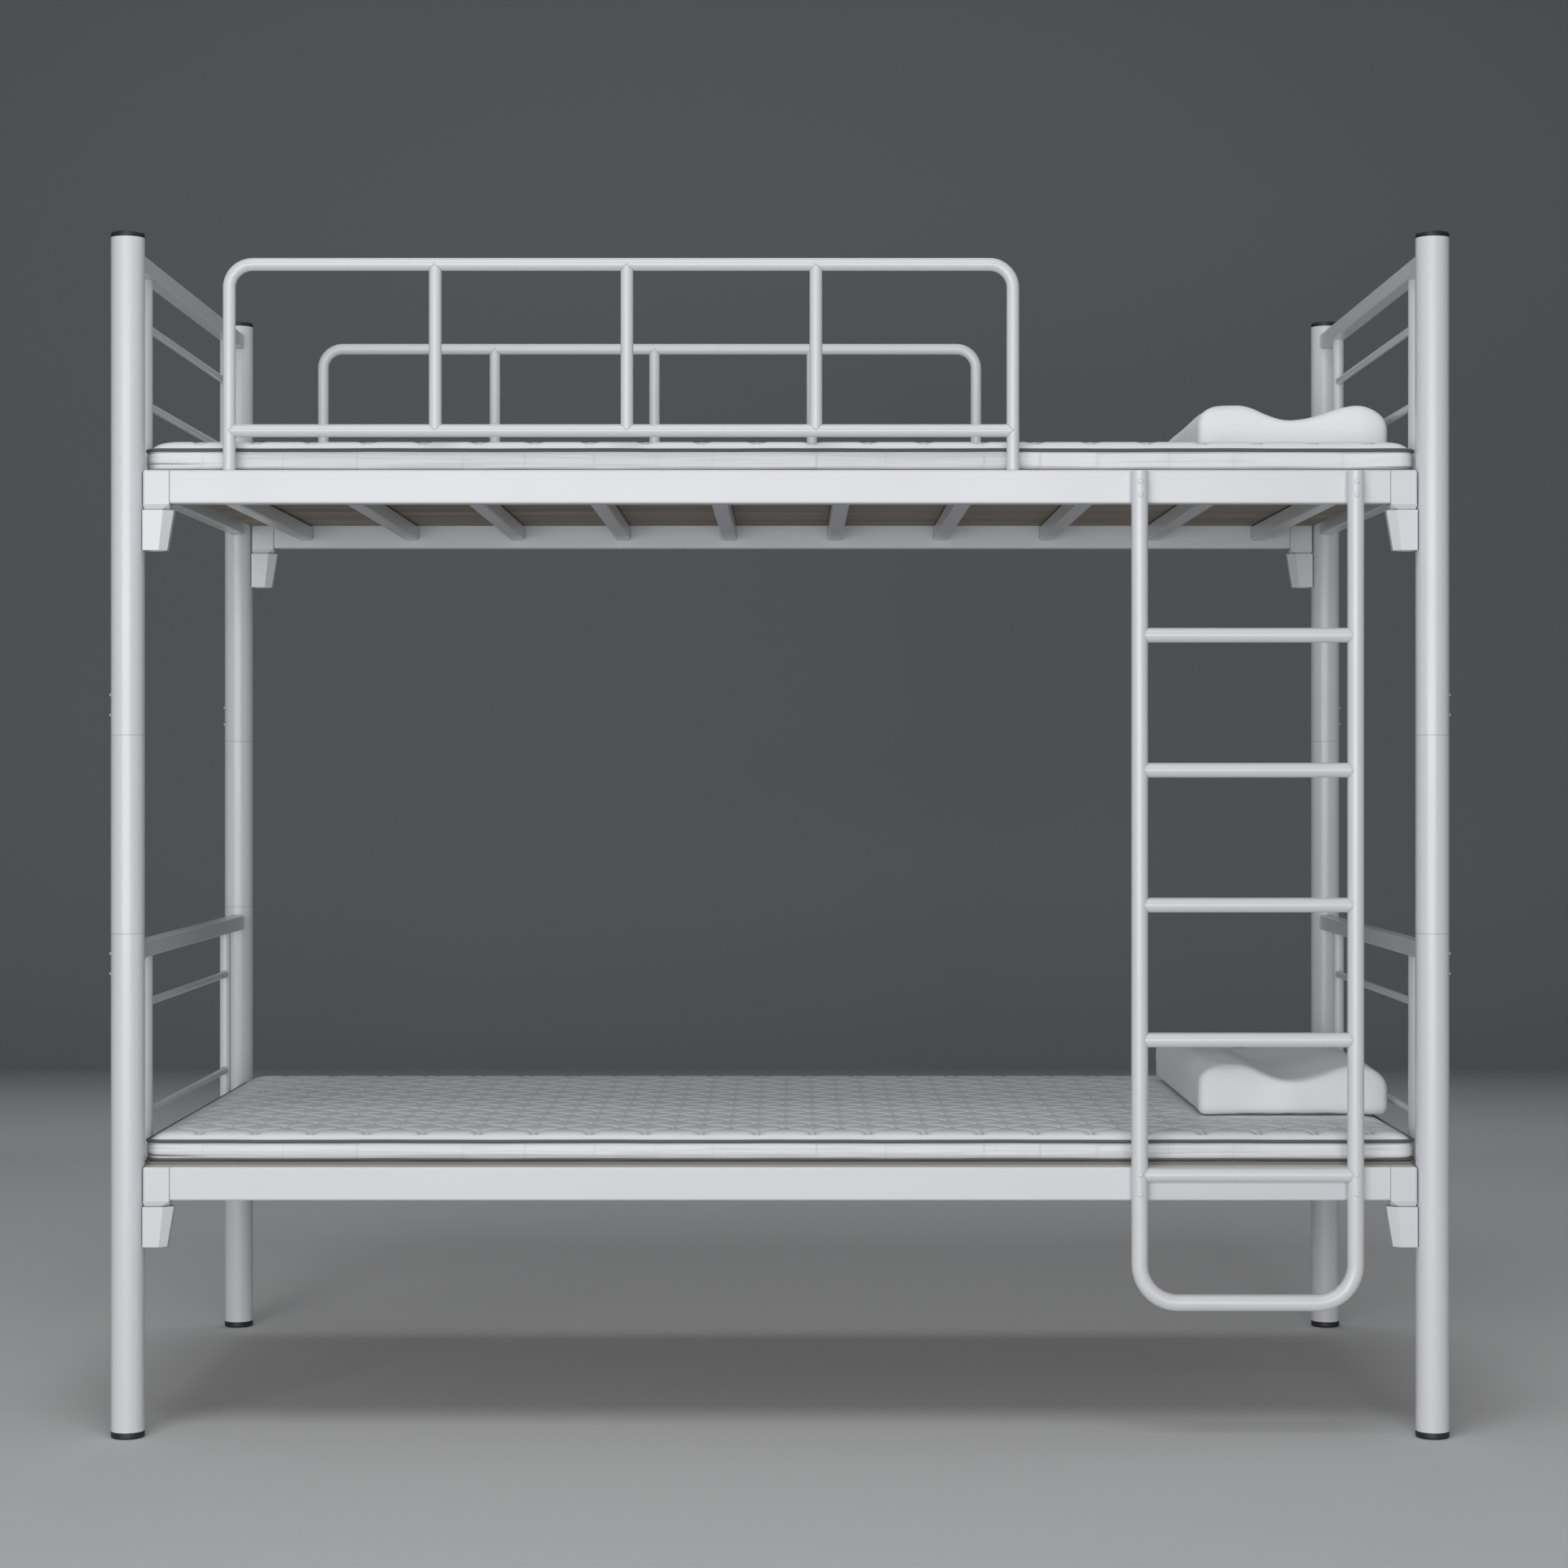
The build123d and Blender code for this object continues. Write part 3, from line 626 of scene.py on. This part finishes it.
def weld_beads():
    """Weld beads at the joints of the end frames, guard rails and ladder."""
    forms = []
    for bunk in BUNKS:
        for end in ("left", "right"):
            low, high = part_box(f"{bunk}_{end}_uprights")
            upright = (high.x - low.x) / 2
            x = (low.x + high.x) / 2
            for y in (low.y + upright, high.y - upright):
                forms += [flat_bead((x, y, z), upright) for z in (low.z, high.z)]
            rung_low, rung_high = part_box(f"{bunk}_{end}_rungs")
            rung = (rung_high.x - rung_low.x) / 2
            for z in (rung_low.z + rung, rung_high.z - rung):
                forms.append(saddle_bead((x, low.y + upright, z), Y_AXIS, Z_AXIS, 1, rung, upright))
                forms.append(saddle_bead((x, high.y - upright, z), Y_AXIS, Z_AXIS, -1, rung, upright))
            for rail in ("top_rail", "cross_rail"):
                low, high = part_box(f"{bunk}_{end}_{rail}")
                half = (high.z - low.z) / 2
                for side in (-1, 1):
                    y = side * max(abs(c[1]) for c in CORNERS)
                    forms.append(coped_bead(x, y, (low.z + high.z) / 2, half, -side))

    for side in ("front", "back"):
        hoop_low, hoop_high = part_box(f"{side}_guard_hoop")
        bar_low, bar_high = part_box(f"{side}_guard_bar")
        radius = (hoop_high.y - hoop_low.y) / 2
        y = (hoop_low.y + hoop_high.y) / 2
        bar = (bar_low.z + bar_high.z) / 2
        legs = (hoop_low.x + radius, hoop_high.x - radius)
        for x, toward in zip(legs, (1, -1)):
            forms.append(flat_bead((x, y, hoop_low.z), radius))
            forms.append(saddle_bead((x, y, bar), X_AXIS, Z_AXIS, toward, radius, radius))
        for low, high in spans(f"{side}_guard_uprights", X_AXIS):
            x = (low + high) / 2
            forms.append(saddle_bead((x, y, bar), Z_AXIS, X_AXIS, 1, radius, radius))
            forms.append(saddle_bead((x, y, hoop_high.z - radius), Z_AXIS, X_AXIS, -1, radius, radius))

    low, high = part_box("ladder_stile")
    stile = (high.y - low.y) / 2
    y = (low.y + high.y) / 2
    for rung_low, rung_high in spans("ladder_rungs", Z_AXIS):
        rung, z = (rung_high - rung_low) / 2, (rung_high + rung_low) / 2
        forms.append(saddle_bead((low.x + stile, y, z), X_AXIS, Z_AXIS, 1, rung, stile))
        forms.append(saddle_bead((high.x - stile, y, z), X_AXIS, Z_AXIS, -1, rung, stile))
    dress("weld_beads", new_mesh("weld_beads", *merged(forms)), "white_powder_coat", "bed_frame")


PAD_LOW, PAD_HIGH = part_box("lower_mattress")
PAD_HALF = np.array((PAD_HIGH - PAD_LOW).xy) / 2
PAD_THICK = PAD_HIGH.z - PAD_LOW.z
CORDS_LOW, CORDS_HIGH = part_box("lower_mattress_piping")
CORD_RADIUS = CORDS_HIGH.x - PAD_HIGH.x
CORD_LOW = CORDS_LOW.z + CORD_RADIUS - PAD_LOW.z
CORD_HIGH = CORDS_HIGH.z - CORD_RADIUS - PAD_LOW.z
SEAM_IN = CORD_RADIUS * math.sqrt(2)
SEAM_HALF = PAD_HALF - SEAM_IN
SEAM_CORNER = MATTRESS_CORNER - SEAM_IN


def round_corners(plan):
    """Bend the four square corners of the cover's plan into quarter circles."""
    bent = plan.copy()
    past = np.abs(plan) - (SEAM_HALF - SEAM_CORNER)
    corner = (past > 0).all(axis=1)
    s, t = (past[corner] / SEAM_CORNER).T
    turn = np.where(s >= t, t / np.maximum(s, 1e-12), 2 - s / np.maximum(t, 1e-12)) * math.pi / 4
    reach = SEAM_CORNER * np.maximum(s, t)
    round_part = np.column_stack((reach * np.cos(turn), reach * np.sin(turn)))
    bent[corner] = np.sign(plan[corner]) * (SEAM_HALF - SEAM_CORNER + round_part)
    return bent


def to_seam(plan):
    """How far inside the top seam each point lies, and the direction straight out to the seam."""
    past = np.abs(plan) - (SEAM_HALF - SEAM_CORNER)
    inside = SEAM_CORNER - np.linalg.norm(np.maximum(past, 0), axis=1) - np.minimum(past.max(axis=1), 0)
    corner = (past > 0).all(axis=1)
    out = np.where(corner[:, None], past, past == past.max(axis=1)[:, None]).astype(float)
    return inside, np.sign(plan) * out / np.linalg.norm(out, axis=1)[:, None]


def stitch_line(number, y):
    """Where a stitch line runs from front to back: it swings late in each row, so cells end in arches."""
    row, share = np.divmod((y + SEAM_HALF[1]) / STITCH_ROW, 1.0)
    sway = STITCH_SWAY * np.cos(math.pi * (row + share ** STITCH_LATE))
    return STITCH_START + number * STITCH_PITCH + (-1) ** number * sway


def from_lines(plan, numbers):
    """Distance of each point of the plan from the nearest of the numbered stitch lines."""
    depths = np.arange(-SEAM_HALF[1], SEAM_HALF[1], STITCH_STEP)
    tree = KDTree(len(numbers) * len(depths))
    for number in numbers:
        for place in zip(stitch_line(number, depths), depths):
            tree.insert((*place, 0.0), 0)
    tree.balance()
    return np.array([tree.find((x, y, 0.0))[2] for x, y in plan])


def quilt_rows():
    """Places of the cover's rows of points from front to back, closer over the round shoulders."""
    edge = SHOULDER_REACH * (np.arange(EDGE_ROWS) / EDGE_ROWS) ** EDGE_CLOSER
    middle = SEAM_HALF[1] - SHOULDER_REACH
    rows = np.linspace(-middle, middle, round(2 * middle / ROW_PITCH) + 1)
    return np.concatenate((edge - SEAM_HALF[1], rows, SEAM_HALF[1] - edge[::-1]))


def quilt_grid():
    """Plan of the quilted top, columns along the stitch lines, and each point's distance from a stitch."""
    y = quilt_rows()
    reach = SEAM_HALF[0] - STITCH_SWAY - STITCH_MARGIN
    first = -int((reach + STITCH_START) // STITCH_PITCH)
    last = int((reach - STITCH_START) // STITCH_PITCH)
    numbers = range(first, last + 1)
    edge = np.full_like(y, SEAM_HALF[0])
    lines = [-edge, *[stitch_line(number, y) for number in numbers], edge]
    columns = []
    for left, right in zip(lines, lines[1:]):
        count = END_COLUMNS if left is lines[0] or right is edge else CELL_COLUMNS
        shares = (1 - np.cos(math.pi * np.arange(count) / count)) / 2
        columns += [left + share * (right - left) for share in shares]
    x = np.array([*columns, edge]).T
    plan = np.column_stack((x.ravel(), np.repeat(y, x.shape[1])))
    return plan, from_lines(plan, numbers), x.shape


def ramp(value, low, high):
    """Smooth step from 0 at low to 1 at high."""
    share = np.clip((value - low) / (high - low), 0, 1)
    return share * share * (3 - 2 * share)


def under_pillow(plan):
    """1 where the pillow presses the cover flat, falling to 0 beside it."""
    low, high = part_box("lower_pillow")
    x, y = plan.T
    across = ramp(x, low.x - PRESSED_FADE, low.x) * (1 - ramp(x, high.x, high.x + PRESSED_FADE))
    return across * ramp(y, low.y - PRESSED_FADE, low.y) * (1 - ramp(y, high.y, high.y + PRESSED_FADE))


def quilted_top():
    """Points of the quilted top, the distance of each from a stitch line, and the grid's shape."""
    plan, gap, shape = quilt_grid()
    plan = round_corners(plan)
    inside, out = to_seam(plan)
    turn = np.clip(1 - inside / SHOULDER_REACH, 0, 1)
    crown = np.clip(1 - inside / CROWN_REACH, 0, 1)
    end = np.clip(1 - (SEAM_HALF[0] - np.abs(plan[:, 0])) / END_REACH, 0, 1)
    rise = (1 - turn ** SHOULDER_POWER) ** (1 / SHOULDER_POWER)
    lean = (turn / np.maximum(rise, SHOULDER_STEEPEST)) ** (SHOULDER_POWER - 1)
    slope = SHOULDER_RISE / SHOULDER_REACH * lean
    pressed = under_pillow(plan)
    loft = PAD_THICK - CORD_HIGH - SHOULDER_RISE + LOFT * (1 - pressed)
    height = CORD_HIGH + (SHOULDER_RISE * rise + loft * (1 - crown ** 2)) * np.sqrt(1 - end ** 2)
    sink = PUFF * np.clip(1 - gap / PUFF_REACH, 0, 1) ** PUFF_POWER
    sink *= (1 - PRESSED * pressed) * ramp(inside, STITCH_FEET, STITCH_SUNK)
    steep = sink / np.sqrt(1 + slope ** 2)
    # The painted stitch shade fades out towards the seam, so the distance is widened there.
    gap = gap + STITCH_WIDTH * (1 - ramp(inside, STITCH_FEET, STITCH_SEWN))
    return np.column_stack((plan - out * (steep * slope)[:, None], height - steep)), gap, shape


def band_profile(rolled):
    """Heights of the side band and how far it stands out from the seams; rolled hides the lower seam."""
    drop, lip = BAND_LIP[0] * SEAM_IN, BAND_LIP[1] * SEAM_IN
    sole = BAND_SOLE * SEAM_IN
    upper = [(CORD_HIGH - drop, lip), (CORD_HIGH - SEAM_IN, SEAM_IN)]
    upper += [(height * CORD_HIGH, reach * SEAM_IN) for height, reach in BAND_SIDE]
    if rolled:
        return upper + [(height * CORD_HIGH, reach * SEAM_IN) for height, reach in BAND_ROLLED]
    return upper + [(CORD_LOW + SEAM_IN, SEAM_IN), (CORD_LOW + drop, lip), (CORD_LOW, 0.0),
                    (CORD_LOW / 2, sole), (0.0, sole)]


def band_panels(run):
    """Which sewn panel of the band each place on its run lies in, counted with parts of a panel."""
    return run / BAND_PANEL + sum(size * np.sin(run * rate) for size, rate in PANEL_SHIFTS)


def band_relief(run):
    """How far the band stands out along its run: each panel leans a little, and the cloth waves."""
    lean = band_panels(run) % 1.0 - 0.5
    return BAND_STEP * (lean + sum(size * np.sin(run * math.tau / length) for size, length in BAND_WAVES))


def mattress_mesh(quilt, rolled):
    """Mattress on z = 0 under its quilted top: banded side between two piped seams, flat underside."""
    top, gap, (rows, columns) = quilt
    index = np.arange(rows * columns).reshape(rows, columns)
    corners = (index[:-1, :-1], index[:-1, 1:], index[1:, 1:], index[1:, :-1])
    quads = [np.stack(corners, axis=-1).reshape(-1, 4)]
    rim = np.concatenate((index[0, :-1], index[:-1, -1], index[-1, :0:-1], index[:0:-1, 0]))
    outline = top[rim, :2]
    out = to_seam(outline)[1]
    run = np.cumsum(np.linalg.norm(np.roll(outline, -1, axis=0) - outline, axis=1))
    run = np.minimum(run, run[-1] - run)
    relief = band_relief(run)

    points, loops = [top], [rim]
    for height, reach in band_profile(rolled):
        free = max(0.0, min(1.0, reach / SEAM_IN - BAND_HELD))
        ring = outline + out * (reach + free * relief)[:, None]
        loops.append(np.arange(len(rim)) + sum(len(p) for p in points))
        points.append(np.column_stack((ring, np.full(len(rim), height))))
    for upper, lower in zip(loops, loops[1:]):
        quads.append(np.column_stack((upper, lower, np.roll(lower, -1), np.roll(upper, -1))))
    faces = [tuple(face) for face in np.concatenate(quads).tolist()]
    faces.append(tuple(loops[-1][::-1].tolist()))
    mesh = new_mesh("quilted_mattress", np.concatenate(points).tolist(), faces)

    count, band_rings = len(mesh.vertices), len(loops) - 1
    to_end = SEAM_HALF[0] - np.abs(outline[:, 0])
    loose = SLACK_BAND + (SLACK_ENDS - SLACK_BAND) * (1 - ramp(to_end, 0, SLACK_REACH))
    values = {"from_stitch": np.ones(count), "panel": np.full(count, 0.5), "slack": np.full(count, SLACK_TOP)}
    values["from_stitch"][:len(top)] = gap
    values["panel"][len(top):] = np.tile(band_panels(run), band_rings)
    values["slack"][len(top):] = np.tile(loose, band_rings)
    for name, numbers in values.items():
        mesh.attributes.new(name, "FLOAT", "POINT").data.foreach_set("value", numbers)
    return mesh


def cord_path(inset):
    """Points round the mattress, drawn in from its edge."""
    outline = []
    for sx, sy, start in ((1, 1, 0), (-1, 1, 90), (-1, -1, 180), (1, -1, 270)):
        centre = np.array((sx, sy)) * (PAD_HALF - MATTRESS_CORNER)
        for turn in np.radians(np.linspace(start, start + 90, CORD_CORNER_STEPS)):
            outline.append(centre + (MATTRESS_CORNER - inset) * np.array((math.cos(turn), math.sin(turn))))
    path = []
    for here, there in zip(outline, outline[1:] + outline[:1]):
        count = max(1, round(float(np.linalg.norm(there - here)) / CORD_STEP))
        path += [here + (there - here) * i / count for i in range(count)]
    return np.array(path)


def cords_mesh(rolled):
    """Piped cords round the mattress, at its top and bottom seams; rolled turns the bottom one under."""
    forms = []
    top = (CORD_HIGH, 0.0, TOP_CORD * CORD_RADIUS)
    under = ROLLED_INSET * SEAM_IN if rolled else 0.0
    bottom = (CORD_LOW - BOTTOM_CORD_SAG * CORD_RADIUS, under, BOTTOM_CORD * CORD_RADIUS)
    for height, inset, radius in (top, bottom):
        path = cord_path(inset)
        run = np.cumsum(np.linalg.norm(np.roll(path, -1, axis=0) - path, axis=1))
        lift = sum(size * np.sin(run * math.tau / length + start) for size, length, start in CORD_WAVES)
        forms.append(tube(np.column_stack((path, height + lift)), radius, CORD_SIDES))
    return new_mesh("mattress_cords", *merged(forms))


def quarter(centre, radii, start, steps=9):
    """Points of a quarter ellipse that begins at an angle in degrees."""
    turns = np.radians(np.linspace(start, start + 90, steps))
    return [(centre[0] + radii[0] * math.cos(t), centre[1] + radii[1] * math.sin(t)) for t in turns]


def eased(first, second, steps=12):
    """Points of a slope that is level at both ends, without those ends."""
    shares = np.arange(1, steps) / steps
    return [(first[0] + (second[0] - first[0]) * t,
             first[1] + (second[1] - first[1]) * (1 - math.cos(math.pi * t)) / 2) for t in shares]


def pillow_section(width, height):
    """Section of the contour pillow across its width: low in the middle, raised along both edges."""
    sole, left, right = PILLOW_SOLE_ROUND, PILLOW_LEFT_ROUND, PILLOW_RIGHT_ROUND
    left_hump, right_hump = (PILLOW_LEFT_HUMP, height), (width - right[0], height)
    return np.array([*quarter((width - sole, sole), (sole, sole), -90),
                     *quarter((right_hump[0], height - right[1]), right, 0),
                     *eased(right_hump, PILLOW_DIP), PILLOW_DIP, *eased(PILLOW_DIP, left_hump), left_hump,
                     *quarter((left, height - left), (left, left), 90),
                     *quarter((sole, sole), (sole, sole), 180)])


def pillow_mesh():
    """Contour pillow on z = 0, with rounded ends, swollen like a stuffed cover."""
    low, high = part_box("lower_pillow")
    width, length, height = high - low
    start = PILLOW_SWELL
    section = pillow_section(width, height)
    middle = np.array((width, height)) / 2
    ends = [(PILLOW_END_ROUND * (1 - math.cos(t)), PILLOW_END_ROUND * (1 - math.sin(t)))
            for t in np.radians(np.linspace(0, 90, PILLOW_END_STEPS))]
    half = length / 2 - start
    stations = [(along - half, inset) for along, inset in ends]
    stations += [(half - along, inset) for along, inset in reversed(ends)]
    points = []
    for y, inset in stations:
        shrunk = (section - middle) * (1 - (start + inset) / middle)
        points += [(x, y, middle[1] + z) for x, z in shrunk]
    count, last = len(section), len(stations) - 1
    faces = []
    for here in range(0, last * count, count):
        there = here + count
        for i in range(count):
            after = (i + 1) % count
            faces.append((here + i, here + after, there + after, there + i))
    faces.append(tuple(range(count - 1, -1, -1)))
    faces.append(tuple(last * count + i for i in range(count)))
    mesh = new_mesh("contour_pillow", points, faces)
    return swollen(mesh, np.array(high - low) + PILLOW_FULL, PILLOW_VOXEL, PILLOW_SWELL)


def applied(worker):
    """New mesh of an object with its modifiers worked in."""
    view = bpy.context.evaluated_depsgraph_get()
    return bpy.data.meshes.new_from_object(worker.evaluated_get(view))


def places(mesh):
    """Points of a mesh as an array."""
    flat = np.empty(3 * len(mesh.vertices))
    mesh.vertices.foreach_get("co", flat)
    return flat.reshape(-1, 3)


def swollen(mesh, size, voxel, cap):
    """A closed form as a stuffed cover of one size: remeshed, blown up by a cloth simulation, subdivided."""
    scene = bpy.context.scene
    worker = bpy.data.objects.new("swelling", mesh)
    scene.collection.objects.link(worker)
    remesh = worker.modifiers.new("remesh", "REMESH")
    remesh.mode, remesh.voxel_size = "VOXEL", voxel
    worker.data = applied(worker)
    worker.modifiers.clear()

    cloth = worker.modifiers.new("cloth", "CLOTH")
    cloth.settings.use_pressure = True
    cloth.settings.uniform_pressure_force = SWELL_PRESSURE
    cloth.settings.effector_weights.gravity = 0.0
    cloth.point_cache.frame_end = SWELL_FRAMES
    for frame_number in range(1, SWELL_FRAMES + 1):
        scene.frame_set(frame_number)
    start = places(worker.data)
    move = places(applied(worker)) - start
    length = np.maximum(np.linalg.norm(move, axis=1), 1e-9)
    move *= (cap * np.tanh(length / cap) / length)[:, None]
    worker.modifiers.clear()
    scene.frame_set(1)

    settled = start + move
    settled = (settled - settled.min(axis=0)) / np.ptp(settled, axis=0) * size
    settled[:, :2] -= size[:2] / 2
    worker.data.vertices.foreach_set("co", settled.ravel())
    worker.data.update()
    worker.modifiers.new("even", "SMOOTH").iterations = EVEN_PASSES
    worker.modifiers.new("smooth", "SUBSURF").levels = 1
    made = applied(worker)
    bpy.data.objects.remove(worker)
    return made


def bedding():
    """Mattresses, their cords and the pillows. The upper mattress has rolled its lower seam under."""
    quilt, pillow = quilted_top(), pillow_mesh()
    for bunk in BUNKS:
        rolled = bunk == "upper"
        low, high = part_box(f"{bunk}_mattress")
        place = ((low.x + high.x) / 2, (low.y + high.y) / 2, low.z)
        body = f"{bunk}_bed_pad"
        mesh = mattress_mesh(quilt, rolled)
        cover = dress(f"{bunk}_quilted_mattress", mesh, "mattress_cover", body, place, [f"{bunk}_mattress"])
        mesh = cords_mesh(rolled)
        dress(f"{bunk}_mattress_cords", mesh, "piping", body, place, [f"{bunk}_mattress_piping"])
        low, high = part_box(f"{bunk}_pillow")
        place = ((low.x + high.x) / 2, (low.y + high.y) / 2, low.z)
        body = f"{bunk}_bed_pillow"
        cushion = dress(f"{bunk}_contour_pillow", pillow, "pillow_cover", body, place, [f"{bunk}_pillow"])


def stage():
    """Plain floor that curves up into a backdrop."""
    near, far, bend, height, wide = -9.0, 4.5, 1.5, 7.0, 12.0
    profile = [(near, 0.0), (far - bend, 0.0)]
    profile += [(far - bend + bend * math.sin(t), bend - bend * math.cos(t))
                for t in np.radians(np.linspace(0, 90, 16))[1:]]
    profile.append((far, height))
    points = [(x, y, z) for y, z in profile for x in (-wide, wide)]
    faces = [(2 * i, 2 * i + 1, 2 * i + 3, 2 * i + 2) for i in range(len(profile) - 1)]
    mesh = new_mesh("stage", points, faces)
    mesh.materials.append(stage_pale())
    mesh.shade_smooth()
    floor = bpy.data.objects.new("stage", mesh)
    bpy.context.scene.collection.objects.link(floor)


def area_light(name, place, aim, width, height, power):
    """Soft rectangular lamp that faces a point and doesn't show itself."""
    lamp = bpy.data.lights.new(name, "AREA")
    lamp.shape = "RECTANGLE"
    lamp.size, lamp.size_y = width, height
    lamp.energy = power
    holder = bpy.data.objects.new(name, lamp)
    holder.location = place
    holder.rotation_euler = (Vector(aim) - Vector(place)).to_track_quat("-Z", "Y").to_euler()
    holder.visible_camera = False
    bpy.context.scene.collection.objects.link(holder)


def light():
    """Soft studio light: a weak surround, large lamps before the bed and above its front and back."""
    world = bpy.data.worlds.new("surround")
    world.use_nodes = True
    surround = world.node_tree.nodes["Background"].inputs
    surround["Color"].default_value = SURROUND_WHITE
    surround["Strength"].default_value = SURROUND_STRENGTH
    bpy.context.scene.world = world
    area_light("front", place=(-0.9, -6.4, 1.25), aim=(0.0, 0.0, 0.9), width=6.0, height=2.3, power=220.0)
    area_light("front_top", place=(-0.3, -2.5, 4.7), aim=(0.0, -0.2, 0.9), width=3.0, height=1.6, power=54.0)
    area_light("back_top", place=(0.2, 1.8, 4.7), aim=(0.0, 0.3, 0.9), width=3.0, height=1.0, power=20.0)


def camera():
    """Camera of the photograph: level, square to the front, a little right of the bed's middle."""
    view = bpy.data.cameras.new("photo_view")
    view.sensor_width = 36.0
    view.lens = 72.63
    view.shift_x = -0.0049
    view.shift_y = -0.0079
    holder = bpy.data.objects.new("photo_view", view)
    holder.location = (0.0173, -5.204, 0.9943)
    holder.rotation_euler = (math.radians(90.0), 0.0, 0.0)
    bpy.context.scene.collection.objects.link(holder)
    bpy.context.scene.camera = holder


finish_cad()
caps_and_feet()
bolts()
weld_beads()
bedding()
stage()
light()
camera()
bpy.context.scene.view_settings.view_transform = "Standard"
